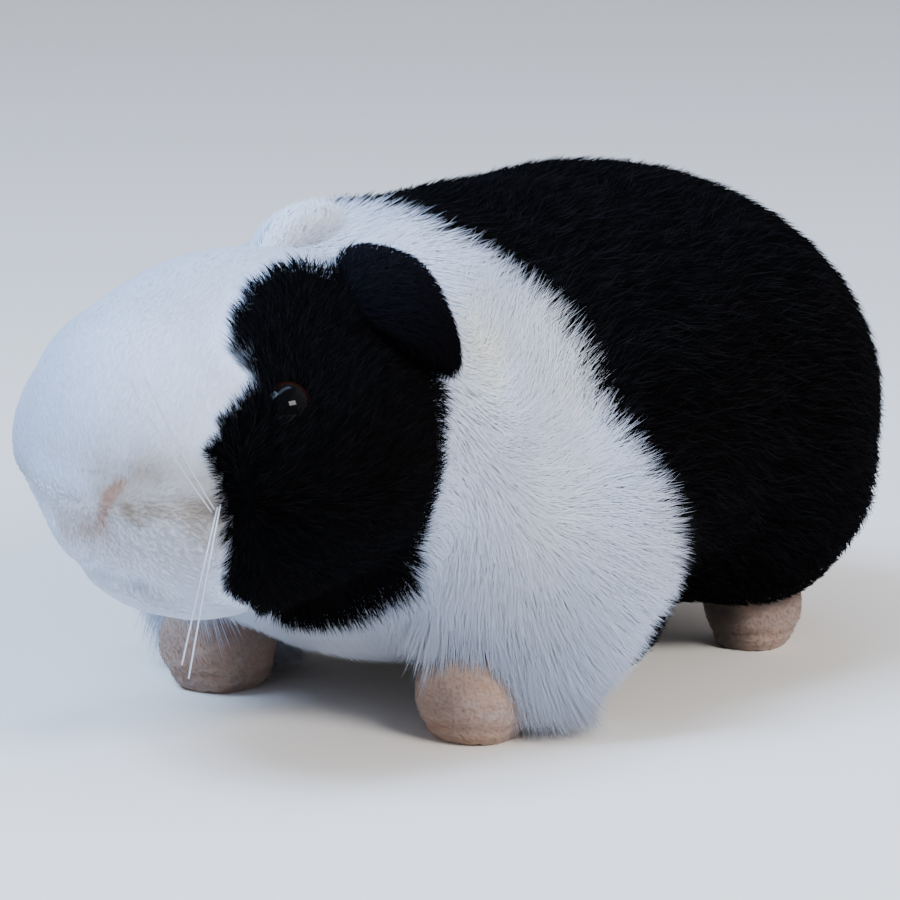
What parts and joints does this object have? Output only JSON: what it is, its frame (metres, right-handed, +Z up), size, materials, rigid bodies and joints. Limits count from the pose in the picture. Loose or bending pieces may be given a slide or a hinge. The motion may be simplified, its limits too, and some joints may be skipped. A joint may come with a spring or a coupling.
{
  "type": "plush guinea pig toy",
  "caption": "Stuffed plush guinea pig toy standing on velour paws, white in front and black behind, with plastic safety eyes and drooping flap ears.",
  "frame": {"origin": "middle of the toy's footprint box, on the floor under its soles", "axes": "+Z up; the toy faces -Y, so +Y runs from nose to rump; +X is the toy's left side"},
  "size_m": [0.1604, 0.2672, 0.1242],
  "materials": {
    "white_plush": "long soft pile",
    "black_plush": "long soft pile",
    "peach_velour": "short velour pile",
    "eye_plastic": "polished"
  },
  "bodies": {
    "root": {"head": "white_plush", "shoulders": "white_plush", "rump": "black_plush", "front_leg_left": "peach_velour", "front_leg_right": "peach_velour", "hind_leg_left": "peach_velour", "hind_leg_right": "peach_velour", "ear_left": "black_plush", "ear_right": "white_plush", "eye_left": "eye_plastic", "eye_right": "eye_plastic"}
  },
  "joints": []
}
